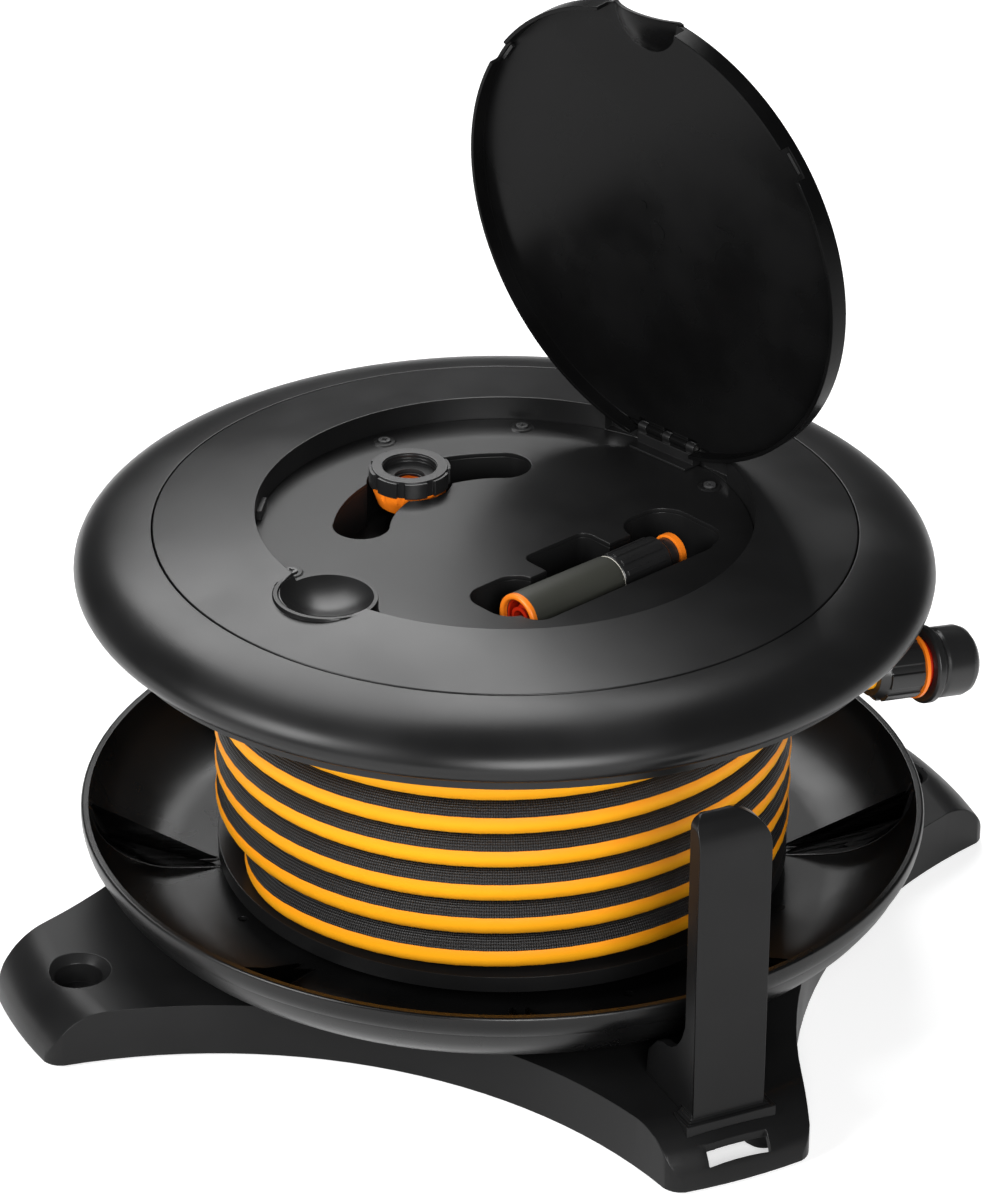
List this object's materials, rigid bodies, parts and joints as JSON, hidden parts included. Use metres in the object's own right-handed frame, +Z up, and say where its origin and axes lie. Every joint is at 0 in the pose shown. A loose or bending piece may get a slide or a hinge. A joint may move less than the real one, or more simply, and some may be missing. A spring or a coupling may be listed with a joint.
{
  "type": "hose reel",
  "caption": "Turntable garden hose reel: dished base on four feet, wound hose with a quick connector, domed top with a lidded tray for a spray nozzle and tap adaptor.",
  "frame": {"origin": "on the floor under the spindle", "axes": "+Z up along the spindle, +X from the spindle to the lid's hinge, +Y to the left of that"},
  "size_m": [0.5384, 0.5402, 0.4955],
  "materials": {
    "charcoal_plastic": "satin moulded",
    "connector_plastic": "satin",
    "orange_plastic": "gloss",
    "red_plastic": "gloss",
    "olive_plastic": "satin",
    "hose_cover": "braided and ribbed",
    "rubber_black": "matte",
    "bearing_plastic": "natural",
    "zinc_steel": "zinc plated"
  },
  "bodies": {
    "base": {"foot_frame": "charcoal_plastic", "foot_pads": "rubber_black", "bowl": "charcoal_plastic", "front_post": "charcoal_plastic", "rear_post": "charcoal_plastic", "post_screws": "zinc_steel", "bowl_screws": "zinc_steel", "spindle": "charcoal_plastic", "thrust_washer": "bearing_plastic", "retaining_nut": "charcoal_plastic", "spigot_seals": "rubber_black", "inlet_pipe": "charcoal_plastic", "inlet_nipple": "orange_plastic"},
    "turntable": {"drum_barrel": "charcoal_plastic", "lower_flange": "charcoal_plastic", "bearing_bushes": "bearing_plastic", "swivel_housing": "charcoal_plastic", "hose_lead": "hose_cover", "hose_clip": "zinc_steel", "hose_core": "hose_cover", "hose_winding": "hose_cover", "hose_tail": "hose_cover", "connector_nut": "connector_plastic", "connector_body": "red_plastic", "connector_ring": "orange_plastic", "connector_seal": "rubber_black", "sleeve_spring": "zinc_steel", "valve_spring": "zinc_steel", "under_plate": "charcoal_plastic", "rim_ring": "charcoal_plastic", "top_panel": "charcoal_plastic", "storage_tray": "charcoal_plastic", "nozzle_cup": "charcoal_plastic", "adaptor_cup": "charcoal_plastic", "tray_posts": "charcoal_plastic", "tray_screws": "zinc_steel", "finger_cup": "charcoal_plastic", "hinge_bracket": "charcoal_plastic", "hinge_pin": "zinc_steel", "latch_catches": "charcoal_plastic"},
    "lid": {"lid": "charcoal_plastic", "lid_latches": "charcoal_plastic"},
    "release_sleeve": {"release_sleeve": "connector_plastic"},
    "stop_valve": {"stop_valve": "bearing_plastic"},
    "spray_nozzle": {"nozzle_body": "olive_plastic", "nozzle_rear_ring": "orange_plastic", "nozzle_socket": "red_plastic"},
    "nozzle_head": {"nozzle_head": "connector_plastic", "nozzle_tip_ring": "orange_plastic", "spray_plate": "connector_plastic"},
    "nozzle_switch": {"nozzle_switch": "connector_plastic"},
    "tap_adaptor": {"adaptor_ring": "connector_plastic", "adaptor_collar": "orange_plastic", "adaptor_spigot": "orange_plastic", "adaptor_washer": "rubber_black"}
  },
  "joints": [
    {"name": "turntable_spin", "type": "hinge", "parent": "base", "child": "turntable", "pos_m": [0, 0, 0.1], "axis": [0, 0, 1], "continuous": true},
    {"name": "lid_hinge", "type": "hinge", "parent": "turntable", "child": "lid", "pos_m": [0.1237, 0, 0.2446], "axis": [0, -1, 0], "range_deg": [-8, 84.2]},
    {"name": "nozzle_lift", "type": "slide", "parent": "turntable", "child": "spray_nozzle", "axis": [0, 0, 1], "range_m": [0, 0.08]},
    {"name": "nozzle_twist", "type": "hinge", "parent": "spray_nozzle", "child": "nozzle_head", "pos_m": [0, -0.0635, 0.2262], "axis": [0.9986, -0.0523, 0], "range_deg": [0, 300]},
    {"name": "nozzle_switch_slide", "type": "slide", "parent": "spray_nozzle", "child": "nozzle_switch", "axis": [0.9986, -0.0523, 0], "range_m": [0, 0.01]},
    {"name": "adaptor_lift", "type": "slide", "parent": "turntable", "child": "tap_adaptor", "axis": [0, 0, 1], "range_m": [0, 0.06]},
    {"name": "release_sleeve_slide", "type": "slide", "parent": "turntable", "child": "release_sleeve", "axis": [-0.9451, 0.3016, 0.1253], "range_m": [0, 0.0024], "stiffness_N_per_m": 400, "springref_m": -0.006},
    {"name": "stop_valve_slide", "type": "slide", "parent": "turntable", "child": "stop_valve", "axis": [-0.9451, 0.3016, 0.1253], "range_m": [0, 0.003], "stiffness_N_per_m": 200, "springref_m": -0.005}
  ]
}
